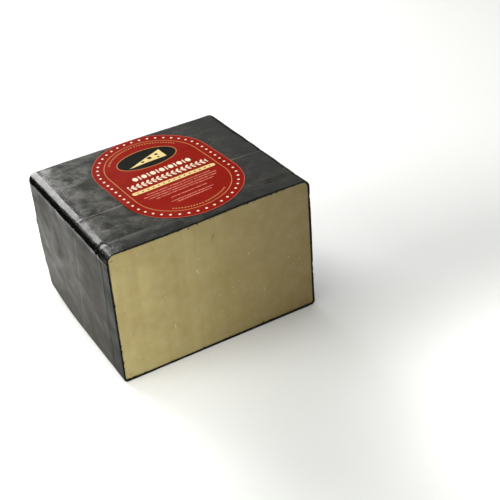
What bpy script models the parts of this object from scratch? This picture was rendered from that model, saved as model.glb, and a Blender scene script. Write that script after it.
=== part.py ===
"""A block of aged white cheddar, dipped in black wax, cut open on its front face, with a paper label on top.

Run it with: blender --background --python part.py, or from Blender's text editor.
Metres. +X runs along the cut face, +Y from the cut face to the back, +Z up. The origin is the middle of the base.
"""

import math

import bmesh
import bpy
from mathutils import Matrix, Vector, noise

# Driving dimensions of the block over its wax.
BLOCK_WIDTH = 0.165
BLOCK_DEPTH = 0.148
BLOCK_HEIGHT = 0.110
TOP_EDGE_RADIUS = 0.0065
BASE_EDGE_RADIUS = 0.0035
WAX_THICKNESS = 0.0016
FIT_GAP = 0.0003

# How far the soft block has moved from a true box while it stood and was cut.
TOP_RISES_TO_RIGHT = 0.0009
TOP_FALLS_TO_BACK = 0.0007
TOP_CROWN = 0.0006
TOP_WAVE = 0.0006
SIDE_LEAN = 0.0013
CUT_TWIST = 0.0010

# The wax: gentle waves from dipping, and a groove behind the cut that fades away under the label.
DIP_WAVE_HEIGHT = 0.0003
DIP_WAVE_LENGTH = 0.040
GROOVE_BEHIND_CUT = 0.0155
GROOVE_DEPTH = 0.0006
GROOVE_HALF_WIDTH = 0.0016
GROOVE_STARTS = 0.034
GROOVE_FULL = 0.055
FLAT_BASE_HEIGHT = 0.010

# The label: two half rounds, one behind the other, joined by straight sides.
LABEL_END_RADIUS = 0.0474
LABEL_HALF_STRAIGHT = 0.0211
LABEL_CENTRE = (0.0032, 0.0006)
LABEL_TURN = 0.04
LABEL_THICKNESS = 0.0003
LABEL_END_STEPS = 36

# The cut face: a slow wave left by the wire, then chips and pits, each at (x, z) with its half sizes and depth.
WIRE_WAVE_HEIGHT = 0.00025
WIRE_WAVE_LENGTH = 0.055
CUT_DIPS = (
    (-0.0765, 0.0030, 0.0050, 0.0040, 0.0007),
    (-0.0750, 0.0990, 0.0035, 0.0050, 0.0005),
    (0.0004, 0.0930, 0.0022, 0.0045, 0.0009),
    (-0.0740, 0.0585, 0.0060, 0.0022, 0.0005),
    (0.0270, 0.0680, 0.0030, 0.0040, 0.0005),
    (-0.0150, 0.0690, 0.0030, 0.0055, 0.0005),
    (-0.0370, 0.0300, 0.0025, 0.0070, 0.0005),
    (0.0450, 0.0340, 0.0060, 0.0035, 0.0006),
    (0.0600, 0.0850, 0.0080, 0.0030, 0.0005),
)

# How finely each piece is divided.
WAX_CELLS_X = 16
WAX_CELLS_Y = 12
WAX_CELLS_Z = 11
ARC_STEPS = 3
CUT_FACE_CELL = 0.0034

HALF_WIDTH = BLOCK_WIDTH / 2
HALF_DEPTH = BLOCK_DEPTH / 2
CUT_Y = -HALF_DEPTH

COLOURS = {
    "cheese": ((0.80, 0.66, 0.40, 1), 0.45),
    "wax_coat": ((0.012, 0.012, 0.011, 1), 0.30),
    "label": ((0.42, 0.035, 0.020, 1), 0.40),
}


def clamp(value, low, high):
    return max(low, min(high, value))


def smooth_step(value, low, high):
    """0 below low, 1 above high, and an even S between them."""
    share = clamp((value - low) / (high - low), 0.0, 1.0)
    return share * share * (3 - 2 * share)


def bell(value, middle, half_width):
    return math.exp(-(((value - middle) / half_width) ** 2))


def clear_scene():
    for old in list(bpy.data.objects):
        bpy.data.objects.remove(old)


def painted(name):
    """The piece's own material."""
    colour, roughness = COLOURS[name]
    material = bpy.data.materials.new(name)
    material.use_nodes = True
    shader = material.node_tree.nodes["Principled BSDF"]
    shader.inputs["Base Color"].default_value = colour
    shader.inputs["Roughness"].default_value = roughness
    shader.inputs["Metallic"].default_value = 0.0
    return material


def add_object(name, bm, sharp_degrees=35):
    mesh = bpy.data.meshes.new(name)
    bm.to_mesh(mesh)
    bm.free()
    mesh.materials.append(painted(name))
    mesh.shade_smooth()
    mesh.set_sharp_from_angle(angle=math.radians(sharp_degrees))
    made = bpy.data.objects.new(name, mesh)
    bpy.context.scene.collection.objects.link(made)
    return made


def settled(point):
    """Where a point of the true box lies in the real block: the top is tilted and crowned, the left end
    leans in at the cut, and the cut is twisted."""
    across = point.x / HALF_WIDTH
    back = point.y / HALF_DEPTH
    up = point.z / BLOCK_HEIGHT
    near_cut = (1 - back) / 2
    lift = TOP_RISES_TO_RIGHT * across - TOP_FALLS_TO_BACK * back
    lift += TOP_CROWN * (1 - across * across) * (1 - near_cut)
    lift -= TOP_WAVE * math.sin(math.pi * (across + 1)) * near_cut
    lean = SIDE_LEAN * (1 - across) / 2 * near_cut
    twist = CUT_TWIST * across * near_cut
    return Vector((point.x + lean * up, point.y + twist * up, point.z + lift * up))


def rounded(point, inset):
    """A point on a plain box moved onto the box with round edges, and the way out of it there.

    The box is the block taken in by inset. Its radius grows from the base to the top, and its cut side
    stays square to its neighbours. A point keeps its distance from the box's core, measured squarely.
    """
    top_radius = TOP_EDGE_RADIUS - inset
    base_radius = BASE_EDGE_RADIUS - inset
    share = smooth_step(point.z, 0.0, BLOCK_HEIGHT)
    radius = base_radius + (top_radius - base_radius) * share
    reach = HALF_WIDTH - inset - radius
    core = Vector((
        clamp(point.x, -reach, reach),
        min(point.y, HALF_DEPTH - inset - radius),
        clamp(point.z, inset + base_radius, BLOCK_HEIGHT - inset - top_radius),
    ))
    away = point - core
    distance = max(abs(away.x), abs(away.y), abs(away.z))
    if distance < 1e-7:
        return point.copy(), Vector((0, 0, 0))
    away.normalize()
    return core + away * distance, away


def wax_relief(point):
    """How far the wax stands out at a point: dipping waves and the groove, and nothing on the base."""
    wave = noise.noise(point / DIP_WAVE_LENGTH) * DIP_WAVE_HEIGHT
    groove = GROOVE_DEPTH * bell(point.y, CUT_Y + GROOVE_BEHIND_CUT, GROOVE_HALF_WIDTH)
    groove *= smooth_step(abs(point.x), GROOVE_STARTS, GROOVE_FULL)
    return (wave - groove) * smooth_step(point.z, 0.0, FLAT_BASE_HEIGHT)


def cut_relief(x, z):
    """How far the cut face lies behind the cut's plane."""
    depth = WIRE_WAVE_HEIGHT * (1 + noise.noise(Vector((x * 0.3, 0.0, z)) / WIRE_WAVE_LENGTH))
    for dip_x, dip_z, half_x, half_z, dip_depth in CUT_DIPS:
        depth += dip_depth * bell(x, dip_x, half_x) * bell(z, dip_z, half_z)
    return depth


def arc_lines(radius):
    """Distances from a box's edge at which lines, once rounded, split the quarter arc evenly."""
    angles = [math.radians(45) * step / ARC_STEPS for step in range(ARC_STEPS)]
    return [radius * (1 - math.tan(angle)) for angle in angles]


def cut_lines(low, high, low_radius, high_radius, cells):
    """Where to divide one side of the box: evenly over its flat, and evenly round its edges."""
    start = low + low_radius
    end = high - high_radius
    lines = [start + (end - start) * step / cells for step in range(1, cells)]
    if low_radius:
        lines += [low + distance for distance in arc_lines(low_radius)]
    if high_radius:
        lines += [high - distance for distance in arc_lines(high_radius)]
    return sorted(lines)


def split_at(bm, geometry, axis, place):
    """Divides faces where they cross a plane square to one axis."""
    normal = Vector([float(axis == i) for i in range(3)])
    bmesh.ops.bisect_plane(bm, geom=geometry, plane_co=normal * place, plane_no=normal, dist=1e-6)


def wax_lines_x(inset):
    radius = TOP_EDGE_RADIUS - inset
    return cut_lines(inset - HALF_WIDTH, HALF_WIDTH - inset, radius, radius, WAX_CELLS_X)


def wax_lines_y(inset, cells):
    return cut_lines(CUT_Y, HALF_DEPTH - inset, 0.0, TOP_EDGE_RADIUS - inset, cells)


def divided_box(inset, cells_y, cells_z, extra_y=()):
    """The block as a plain box taken in by inset, divided into cells, with its cut side at CUT_Y."""
    low = Vector((inset - HALF_WIDTH, CUT_Y, inset))
    high = Vector((HALF_WIDTH - inset, HALF_DEPTH - inset, BLOCK_HEIGHT - inset))
    bm = bmesh.new()
    bmesh.ops.create_cube(bm, size=1.0)
    for vert in bm.verts:
        for axis in range(3):
            vert.co[axis] = low[axis] if vert.co[axis] < 0 else high[axis]
    lines = (
        wax_lines_x(inset),
        wax_lines_y(inset, cells_y) + list(extra_y),
        cut_lines(low.z, high.z, BASE_EDGE_RADIUS - inset, TOP_EDGE_RADIUS - inset, cells_z),
    )
    for axis, places in enumerate(lines):
        for place in places:
            split_at(bm, bm.verts[:] + bm.edges[:] + bm.faces[:], axis, place)
    return bm


def on_cut(face):
    return face.normal.y < -0.99


def open_skin(inset, cells_y, extra_y, relief):
    """One side of the wax: the block's five waxed faces, open at the cut."""
    bm = divided_box(inset, cells_y, WAX_CELLS_Z, extra_y)
    bm.normal_update()
    bmesh.ops.delete(bm, geom=[face for face in bm.faces if on_cut(face)], context="FACES")
    for vert in bm.verts:
        place, away = rounded(vert.co, inset)
        vert.co = settled(place + away * relief(place))
    return bm


def make_wax_coat():
    """An outer skin and an inner skin, joined by the narrow rim that the cut laid bare."""
    groove_y = CUT_Y + GROOVE_BEHIND_CUT
    groove_lines = [groove_y + step * GROOVE_HALF_WIDTH for step in (-2, -1, 0, 1, 2)]
    bm = open_skin(0.0, WAX_CELLS_Y, groove_lines, wax_relief)
    add_turned_over(bm, open_skin(WAX_THICKNESS, 3, (), lambda place: 0.0))
    return add_object("wax_coat", bm)


def divide_cut_face(bm, inset):
    """Divides only the cut side into small cells, so that its relief has something to move."""
    spans = (
        (0, inset - HALF_WIDTH, HALF_WIDTH - inset),
        (2, inset, BLOCK_HEIGHT - inset),
    )
    for axis, low, high in spans:
        count = round((high - low) / CUT_FACE_CELL)
        for step in range(1, count):
            faces = [face for face in bm.faces if on_cut(face)]
            edges = {edge for face in faces for edge in face.edges}
            verts = {vert for face in faces for vert in face.verts}
            split_at(bm, list(verts) + list(edges) + faces, axis, low + (high - low) * step / count)


def make_cheese():
    """The paste inside the wax. Its cut side carries the wire's wave, chips and pits."""
    inset = WAX_THICKNESS + FIT_GAP
    bm = divided_box(inset, 4, 4)
    bm.normal_update()
    divide_cut_face(bm, inset)
    bm.normal_update()
    on_face = {vert for face in bm.faces if on_cut(face) for vert in face.verts}
    for vert in bm.verts:
        place = rounded(vert.co, inset)[0]
        if vert in on_face:
            place.y += cut_relief(place.x, place.z)
        vert.co = settled(place)
    bmesh.ops.triangulate(bm, faces=bm.faces[:])
    return add_object("cheese", bm, 50)


def label_outline():
    """The label's edge, as points on its own flat sheet."""
    points = []
    for end, first_angle in ((1, 0.0), (-1, math.pi)):
        for step in range(LABEL_END_STEPS + 1):
            angle = first_angle + math.pi * step / LABEL_END_STEPS
            x = LABEL_END_RADIUS * math.cos(angle)
            y = LABEL_END_RADIUS * math.sin(angle) + end * LABEL_HALF_STRAIGHT
            points.append((x, y))
    return points


def on_top(x, run_y, height):
    """A place on the waxed top, height above the wax, run_y along it, which bends down over the back edge."""
    flat_end = HALF_DEPTH - TOP_EDGE_RADIUS
    bend = max(0.0, run_y - flat_end) / TOP_EDGE_RADIUS
    away = Vector((0.0, math.sin(bend), math.cos(bend)))
    core = Vector((x, min(run_y, flat_end), BLOCK_HEIGHT - TOP_EDGE_RADIUS))
    place = core + away * TOP_EDGE_RADIUS
    return settled(place + away * (wax_relief(place) + height))


def label_face(height):
    """One face of the label, cut flat and divided where the wax is, then laid on the wax at a height above it."""
    bm = bmesh.new()
    rim = [bm.verts.new((x, y, 0.0)) for x, y in label_outline()]
    bm.faces.new(rim)
    bmesh.ops.rotate(bm, verts=bm.verts[:], matrix=Matrix.Rotation(LABEL_TURN, 3, "Z"))
    bmesh.ops.translate(bm, verts=bm.verts[:], vec=(*LABEL_CENTRE, 0.0))
    for axis, places in enumerate((wax_lines_x(0.0), wax_lines_y(0.0, WAX_CELLS_Y))):
        for place in places:
            split_at(bm, bm.verts[:] + bm.edges[:] + bm.faces[:], axis, place)
    for vert in bm.verts:
        vert.co = on_top(vert.co.x, vert.co.y, height)
    return bm


def add_turned_over(bm, other):
    """Adds a second skin to bm, facing the other way, and joins the two along their open edges."""
    bmesh.ops.reverse_faces(other, faces=other.faces[:])
    mesh = bpy.data.meshes.new("second_skin")
    other.to_mesh(mesh)
    other.free()
    bm.from_mesh(mesh)
    bpy.data.meshes.remove(mesh)
    bmesh.ops.bridge_loops(bm, edges=[edge for edge in bm.edges if edge.is_boundary])
    bmesh.ops.recalc_face_normals(bm, faces=bm.faces[:])


def make_label():
    """A sheet of paper that lies on the wax and follows it over the back edge."""
    bm = label_face(FIT_GAP + LABEL_THICKNESS)
    add_turned_over(bm, label_face(FIT_GAP))
    return add_object("label", bm)


def main():
    clear_scene()
    make_cheese()
    make_wax_coat()
    make_label()


main()
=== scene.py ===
"""A cut block of aged cheddar in black wax, with its paper label, finished and set in a studio."""

import math
import random

import bmesh
import bpy
from bpy.props import FloatProperty, FloatVectorProperty, PointerProperty
from bpy.types import Operator, Panel, PropertyGroup
from mathutils import Matrix, Vector, noise


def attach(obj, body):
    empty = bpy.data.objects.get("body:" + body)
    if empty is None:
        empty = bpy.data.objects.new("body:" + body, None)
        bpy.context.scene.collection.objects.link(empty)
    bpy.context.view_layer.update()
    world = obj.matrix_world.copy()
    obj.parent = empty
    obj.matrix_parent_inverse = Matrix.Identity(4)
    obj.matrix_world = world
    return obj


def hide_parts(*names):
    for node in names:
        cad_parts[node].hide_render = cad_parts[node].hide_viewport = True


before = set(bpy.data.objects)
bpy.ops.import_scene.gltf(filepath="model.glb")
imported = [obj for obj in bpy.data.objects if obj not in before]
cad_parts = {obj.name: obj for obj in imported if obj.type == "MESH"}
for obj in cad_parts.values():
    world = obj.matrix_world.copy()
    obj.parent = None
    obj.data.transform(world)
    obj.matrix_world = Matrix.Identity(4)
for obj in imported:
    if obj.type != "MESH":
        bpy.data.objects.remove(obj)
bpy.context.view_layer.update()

bl_info = {
    "name": "Cut block of waxed cheddar", "version": (1, 0, 0), "blender": (4, 5, 0),
    "location": "View3D > Sidebar > Cheddar",
    "description": "Models a cut block of aged cheddar with its wax coat and its label, and its studio",
    "category": "Add Mesh",
}

MM = 0.001
BLOCK_HEIGHT = 110 * MM
SMOOTH = {"interpolation_type": "SMOOTHSTEP"}
SAME_PLANE = 1e-5
ON_SURFACE = 1e-6

# How far the soft block has moved from a true box, as in the solids: see settled.
TOP_RISES_TO_RIGHT = 0.9 * MM
TOP_FALLS_TO_BACK = 0.7 * MM
TOP_CROWN = 0.6 * MM
TOP_WAVE = 0.6 * MM
SIDE_LEAN = 1.3 * MM
CUT_TWIST = 1.0 * MM

# The wax's relief, as in the solids, and what is finer, which only goes inwards.
DIP_WAVE_HEIGHT = 0.3 * MM
DIP_WAVE_LENGTH = 40 * MM
LUMP_HEIGHT = 0.20 * MM
LUMP_LENGTH = 13 * MM
RIPPLE_HEIGHT = 0.05 * MM
RIPPLE_LENGTH = 5 * MM
GROOVE_BEHIND_CUT = 15.5 * MM
GROOVE_DEPTH = 0.6 * MM
GROOVE_HALF_WIDTH = 1.6 * MM
GROOVE_STARTS = 34 * MM
GROOVE_FULL = 55 * MM
GROOVE_FADES_FROM = 70 * MM
GROOVE_FADES_TO = 78 * MM
GROOVE_FADE = 0.6
EDGE_SAG = 1.0 * MM
EDGE_SAG_REACH = 20 * MM
EDGE_SAG_BACK = 30 * MM
FLAT_BASE_HEIGHT = 10 * MM
CORNER_WEAR = 7 * MM
CORNER_WEAR_FRONT = 15 * MM
CORNER_WEAR_RIGHT = 30 * MM
CORNER_WEAR_LOW = 10 * MM
CORNER_WEAR_HIGH = 45 * MM

# The crease where two dips of wax meet. It crosses the top and carries on down both ends.
CREASE_LEFT_Y = -20.5 * MM
CREASE_RIGHT_Y = -12.5 * MM
CREASE_BEND_FROM = -45 * MM
CREASE_BEND_TO = 55 * MM
CREASE_FALL_Y = 19.0 * MM
CREASE_STEP = 0.16 * MM
CREASE_HALF_WIDTH = 1.1 * MM

# Where the wax's finish changes: spans along X, Y or Z, and what a value runs through over them.
TOP_STARTS = (105 * MM, 107.5 * MM)
CREASE_NARROWS = (85 * MM, 104 * MM)
CREASE_LINE_WIDTHS = (3.4 * MM, 0.7 * MM)
CREASE_LINE_STRENGTHS = (0.19, 0.6)
CREASE_WOBBLE = 0.6 * MM
GROOVE_LEANS = (15 * MM, 104 * MM)
GROOVE_LINE_Y = (-58.5 * MM, -65 * MM)
GROOVE_MATT_REACH = 2.6 * MM
BAND_ENDS = (-2.5 * MM, 2.0 * MM)
LEFT_CORNER = (-81 * MM, -60 * MM)
LEFT_EDGE = (-76 * MM, -69 * MM)
RUBBED_HEIGHT = 101.5 * MM
RUBBED_HALF_WIDTH = 4.5 * MM
RUBBED_REACH = (8 * MM, 45 * MM)
HANDLED_LESS = (-82 * MM, -50 * MM)
FILM_THINS = (-65 * MM, 25 * MM)
MATTER_TOWARDS_CUT = (20 * MM, -60 * MM)
MATTER_TOWARDS_BASE = (55 * MM, 5 * MM)
MATT_BELOW = (98.5 * MM, 66 * MM)
MATT_ENDS = 102.5 * MM
SCRATCH_WIDTH = 0.012
CRACK_WIDTH = 0.014

# The wax's stretched grains: size along X, Y and Z, turn about each of them, and how much they are stirred.
TOP_STREAKS = ((22 * MM, 7 * MM, 26 * MM), (0.0, 0.0, -0.10), 0.7)
SIDE_STREAKS = ((27 * MM, 27 * MM, 8 * MM), (0.16, 0.12, 0.0), 0.9)
SCRATCHES = ((40 * MM, 6 * MM, 36 * MM), (-0.30, 0.1, -0.55), 0.3)
DABS = ((14 * MM, 10 * MM, 9 * MM), (0.2, 0.0, -0.2), 0.9)
MATT_CLOUDS = ((40 * MM, 40 * MM, 24 * MM), (0.25, 0.0, 0.0), 0.8)
CRACKS = ((10 * MM, 2.4 * MM, 10 * MM), (0.0, 0.0, 0.25), 0.5)

# Drips that stand out from the back left edge: height above the floor, half size, and how far they stand out.
DRIPS = (
    (67 * MM, 2.4 * MM, 1.0 * MM),
    (28 * MM, 2.8 * MM, 1.1 * MM),
    (18 * MM, 2.0 * MM, 0.8 * MM),
)
DRIP_REACH = 4.2 * MM

# How finely the pieces are divided: each pair is a first division and then a second one of every part. Of the
# paste, off the cut, only edges longer than a coarse edge are divided.
COAT_CELLS = ((11, 12), (10, 12), (8, 11))
CUT_FACE_CELLS = ((13, 14), (10, 12))
PASTE_CELLS = (8, 5)
COARSE_EDGE = 8 * MM
LABEL_CELLS = (104, 144)

# The cut wax: how its rim wobbles, where the wire nicked it, and the lip that it dragged over the paste.
RIM_STEPS = (0.3, 0.65, 1.0)
RIM_CHIP_DEPTH = 0.9 * MM
RIM_CHIP_LENGTH = 2.4 * MM
RIM_CHIP_FROM = 0.22
RIM_CHIP_REACH = 0.5 * MM
RIM_WOBBLE = 0.30 * MM
RIM_WOBBLE_LENGTH = 5 * MM
SMEAR_REACH = 1.2 * MM
SMEAR_LENGTH = 2.0 * MM
SMEAR_FROM = 0.25
LIP_THICKNESS = 0.07 * MM
RIM_REACH = 1.5 * LIP_THICKNESS
HOLLOW_BENDS = 4

# The cut face: the wire's wave, and the chips and pits as in the solids, each at (x, z) in millimetres, with
# half sizes and depth.
WIRE_WAVE_HEIGHT = 0.25 * MM
WIRE_WAVE_LENGTH = 55 * MM
CUT_DIPS = (
    (-76.5, 3.0, 5.0, 4.0, 0.7),
    (-75.0, 99.0, 3.5, 5.0, 0.5),
    (0.4, 93.0, 2.2, 4.5, 0.9),
    (-74.0, 58.5, 6.0, 2.2, 0.5),
    (27.0, 68.0, 3.0, 4.0, 0.5),
    (-15.0, 69.0, 3.0, 5.5, 0.5),
    (-37.0, 30.0, 2.5, 7.0, 0.5),
    (45.0, 34.0, 6.0, 3.5, 0.6),
    (60.0, 85.0, 8.0, 3.0, 0.5),
)
CURD_RELIEF = 0.05 * MM
CURD_LENGTH = 6 * MM
DRAG_RELIEF = 0.03 * MM
DRAG_LENGTHS = (1.6 * MM, 30 * MM)

# Marks on the cut: at (x, z) in millimetres, half sizes, turn, and how strong they are.
PALE_MARKS = (
    (-14.8, 69.5, 0.7, 2.9, 0.35, 0.8),
    (-14.2, 80.5, 0.8, 1.0, 0.0, 0.4),
    (-37.0, 30.3, 0.7, 3.6, 0.05, 0.6),
    (27.4, 68.0, 1.0, 1.2, 0.3, 0.6),
    (38.6, 31.4, 1.1, 0.8, 0.0, 0.6),
    (61.0, 52.0, 0.8, 1.0, 0.4, 0.7),
    (70.5, 47.0, 0.6, 1.3, 0.2, 0.5),
    (12.0, 45.0, 0.9, 0.9, 0.0, 0.35),
)
DARK_MARKS = (
    (0.4, 93.4, 0.45, 3.0, -0.45, 0.95),
    (-1.4, 90.6, 0.35, 1.0, -0.2, 0.7),
    (-73.9, 58.3, 3.3, 0.32, 0.40, 0.55),
    (-68.0, 52.0, 0.5, 0.5, 0.0, 0.4),
    (-77.1, 103.6, 1.3, 0.9, 0.2, 0.8),
    (-43.0, 60.5, 3.6, 0.6, 0.05, 0.22),
    (-65.5, 14.0, 2.6, 0.6, 0.1, 0.3),
    (-3.0, 58.0, 0.5, 0.6, 0.0, 0.4),
    (52.0, 96.0, 1.0, 0.6, 0.5, 0.45),
)
RAGGED = 0.8
# The span along X over which the paste's painted shade grows from none to full.
PASTE_PAINTED_SHADE = (-60 * MM, 80 * MM)

# The label's print, in millimetres from its middle and from its edge.
PRINT_STRAIGHT = 21.1
PRINT_RADIUS = 47.4
PRINT_SOFTNESS = 0.12
DOT_INSET = 4.7
DOT_RADIUS = 1.12
DOTS_PER_QUARTER = 13.5
RING_INSET = 9.7
RING_HALF_WIDTH = 0.32
EDGE_LINE_INSET = 0.45
EDGE_LINE_HALF_WIDTH = 0.14
DASH_INSET = 13.2
DASH_PITCH = 2.7
DASH_HALF = (0.75, 0.7)
DASHES_BELOW, DASHES_ABOVE = -58.0, 44.0
OVAL_MIDDLE = (0.0, 31.5)
OVAL_HALF = (25.5, 15.0)
OVAL_LINE = 0.7
WEDGE_FOOT = 6.5
WEDGE_BACK = 14.0
WEDGE_SLOPE = 0.42
WEDGE_TOP = 1.2
WEDGE_HOLES = ((-5.5, -3.6, 1.5), (1.6, -1.2, 2.1), (8.6, 0.9, 1.6), (8.0, -4.0, 1.2))
BEAD_ROW_Y = 7.5
BEAD_PITCH = 7.6
BEAD_HALF = (2.3, 3.2)
BAR_HALF = (0.55, 2.9)
BEAD_ROW_HALF = 24.7
LEAF_ROW_Y = -2.8
LEAF_PITCH = 4.2
LEAF_MIDDLE = (0.1, 2.0)
LEAF_HALF = (1.05, 2.1)
LEAF_TURN = -0.65
STEM_HALF_WIDTH = 0.3
LEAF_ROW_HALF = 33.4
BAND_Y = -11.8
BAND_HALF_HEIGHT = 2.3
BAND_STRAIGHT = 33.0
BAND_DOT_PITCH = 4.4
BAND_DOT_RADIUS = 0.9
BAND_DOTS_HALF = 31.0
RULE_HALF_HEIGHT = 0.62
FINE_RULES = (
    (-18.4, 27.0), (-21.6, 31.0), (-24.9, 28.5), (-28.1, 24.0), (-33.6, 15.0), (-38.9, 17.5), (-41.6, 14.0)
)

# Crumbs and flakes on the cut, at (x, z) with a radius in millimetres, and the rows in which more are strewn.
LARGE_CRUMBS = [(-77.4, 3.6, 1.5), (-76.2, 2.6, 1.0), (-75.6, 4.6, 0.7), (74.6, 62.0, 0.8), (75.4, 55.0, 0.7)]
STREWN = 14
STREWN_SEED = 31
CRUMB_LUMPS = ((0.35, 1.3), (0.15, 3.1))
CRUMB_SINKS_IN = 0.35
CRUMB_FLATNESS = 0.42
FLAKE_FLATNESS = 0.22

# The label's lift off the wax: where its edge has come away, and its creases.
LABEL_LIFT = 0.55 * MM
LABEL_LIFT_AT = (-44 * MM, -22 * MM)
LABEL_LIFT_REACH = 8 * MM
LABEL_CREASES = ((-35, 13, -20, 13.5), (5, 17, 35, 19), (-20, -30, 12, -27))
LABEL_CREASE_HEIGHT = 0.09 * MM
LABEL_CREASE_REACH = 1.4 * MM

# The studio: how large its lights are, where they stand and what they aim at.
KEY_DISTANCE = 1.3
KEY_SIZE = (0.77, 0.58)
OVERHEAD_SIZE = (1.5, 1.5)
OVERHEAD_PLACE = Vector((-0.05, -0.22, 1.5))
FILL_SIZE = (0.15, 0.15)
FILL_PLACE = Vector((-0.30, -0.62, 0.32))
FILL_AIM = Vector((-0.125, -0.08, 0.05))
FILL_SPREAD = math.radians(34)
SIDE_SIZE = (0.6, 0.6)
SIDE_PLACE = Vector((-1.0, 0.15, 0.7))
LIGHT_AIM = Vector((0.0, -0.05, 0.05))
FLOOR_SIZE = (0.32, 0.34)
FLOOR_PLACE = Vector((0.22, -0.34, 0.225))
FLOOR_AIM = Vector((0.22, -0.339, 0.0))
FLOOR_SPREAD = math.radians(56)
OPEN_SPREAD = math.pi
FLOOR_RADIUS = 6.0

# Black cards out of the picture: name, middle of the lower edge, width, height, and whether they shade.
BLACK_CARDS = (
    ("black_card_left", (-0.150, 0.145, 0.0), (0.0, 0.25, 0.0), (0.0, 0.0, 0.15), False),
    ("black_card_right", (0.45, 0.35, 0.0), (0.385, -0.32, 0.0), (0.0, 0.0, 0.28), False),
    ("black_flag_above", (0.20, -0.32, 0.24), (0.26, 0.0, 0.0), (0.0, 0.23, 0.02), True),
)

# The studio round about is brightest this way.
SKY_AZIMUTH = math.radians(170)
SKY_ELEVATION = math.radians(30)
SKY_DIM = 0.09
SKY_BRIGHT = 0.70


def direction(azimuth, elevation):
    """The way to a place seen from the block: azimuth 0 is in front of the cut, and it turns towards +X."""
    level = math.cos(elevation)
    return Vector((math.sin(azimuth) * level, -math.cos(azimuth) * level, math.sin(elevation)))


def linear(hex_colour):
    """An sRGB hex colour as linear red, green and blue."""
    channels = [int(hex_colour[i : i + 2], 16) / 255 for i in (1, 3, 5)]
    return tuple(c / 12.92 if c <= 0.04045 else ((c + 0.055) / 1.055) ** 2.4 for c in channels)


def length_value(name, description, metres):
    return FloatProperty(name=name, description=description, default=metres, unit="LENGTH", precision=5)


def angle_value(name, description, radians):
    return FloatProperty(name=name, description=description, default=radians, unit="ROTATION")


def colour_value(name, description, hex_colour):
    return FloatVectorProperty(
        name=name, description=description, default=linear(hex_colour), subtype="COLOR"
    )


def power_value(name, description, watts):
    return FloatProperty(name=name, description=description, default=watts, unit="POWER")


class CheddarBlock(PropertyGroup):
    """The size of the block over its wax."""

    width: length_value("Width", "Along the cut face", 165 * MM)
    depth: length_value("Depth", "From the cut face to the back", 148 * MM)
    height: length_value("Height", "From the floor to the top", BLOCK_HEIGHT)
    top_radius: length_value("Top edge radius", "Of the rounded upper edges", 6.5 * MM)
    base_radius: length_value("Base edge radius", "Of the rounded lower edges", 3.5 * MM)
    wax_thickness: length_value("Wax thickness", "Of the coat where it was cut", 1.6 * MM)
    fit_gap: length_value("Fit gap", "Between the wax and the paste", 0.3 * MM)


class CheddarLabel(PropertyGroup):
    """The size and place of the paper label."""

    end_radius: length_value("End radius", "Of the label's two round ends", PRINT_RADIUS * MM)
    half_straight: length_value("Half straight", "Half the length of its straight sides", PRINT_STRAIGHT * MM)
    centre_x: length_value("Centre X", "Where its middle lies", 3.2 * MM)
    centre_y: length_value("Centre Y", "Where its middle lies", 0.6 * MM)
    turn: angle_value("Turn", "How far it is turned on the block", 0.04)
    thickness: length_value("Paper thickness", "Of the label with its glue", 0.16 * MM)
    height: length_value("Height over wax", "Of the label's upper face", 0.26 * MM)


class CheddarFinish(PropertyGroup):
    """The colours of the materials."""

    paste: colour_value("Paste", "Aged white cheddar", "#a79962")
    # Paste, darker: this colour also paints the shade towards the paste's right side.
    paste_deep: colour_value("Paste, darker", "Where the paste is denser or drier", "#8a7641")
    paste_pale: colour_value("Paste, paler", "Where it is bruised, or a crystal shows", "#c5bd9a")
    paste_crack: colour_value("Paste, cracks", "In cracks and on dried spots", "#4a3c17")
    wax: colour_value("Wax", "Black cheese wax", "#080807")
    wax_film: colour_value("Wax film", "The greyish bloom on handled wax", "#544d41")
    wax_film_cool: colour_value("Wax film, cooler", "The thinner bloom by the cut and on the top", "#3e443b")
    wax_scuff: colour_value("Wax scuffs", "In scratches and on the crease", "#8b8574")
    print_red: colour_value("Print red", "The label's ground", "#821305")
    print_cream: colour_value("Print cream", "The label's dots and rows", "#e9d9bd")
    print_straw: colour_value("Print straw", "The label's long band and its wedge", "#d9c283")
    print_gold: colour_value("Print gold", "The label's ring, dashes and oval line", "#b87a4c")
    print_rose: colour_value("Print rose", "The label's edge line and fine rules", "#c77a68")
    print_black: colour_value("Print black", "The label's oval", "#12120d")


class CheddarStudio(PropertyGroup):
    """The camera and the light."""

    azimuth: angle_value("Camera azimuth", "Round the block, 0 in front of the cut", math.radians(-28.37))
    elevation: angle_value("Camera elevation", "Above the horizon", math.radians(33.08))
    roll: angle_value("Camera roll", "Of the camera about its own axis", math.radians(-4.56))
    distance: length_value("Camera distance", "From the point it looks at", 789.4 * MM)
    aim: FloatVectorProperty(
        name="Camera aim", description="The point in the middle of the picture",
        default=(49.15 * MM, -35.62 * MM, 42.73 * MM), subtype="XYZ",
    )
    lens: FloatProperty(name="Lens", description="Focal length in millimetres", default=73.2, unit="CAMERA")
    key_power: power_value("Key power", "Of the large soft box behind the block", 14.5)
    key_azimuth: angle_value("Key azimuth", "Where the large soft box stands", math.radians(189.5))
    key_elevation: angle_value("Key elevation", "How high the large soft box stands", math.radians(29))
    overhead_power: power_value("Overhead power", "Of the soft box over the block", 12.0)
    side_power: power_value("Side power", "Of the soft box on the left", 4.0)
    fill_power: power_value("Fill power", "Of the soft box with a grid in front on the left", 0.13)
    floor_power: power_value("Floor power", "Of the low soft box that lights the floor on the right", 0.34)


def clamp(value, low, high):
    return max(low, min(high, value))


def smooth_step(value, low, high):
    """0 below low, 1 above high, and an even S between them."""
    share = clamp((value - low) / (high - low), 0.0, 1.0)
    return share * share * (3 - 2 * share)


def bell(value, middle, half_width):
    return math.exp(-(((value - middle) / half_width) ** 2))


def over(value, start):
    """How far noise goes past a start, as a share of what is left above it."""
    return max(0.0, value - start) / (1 - start)


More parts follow.
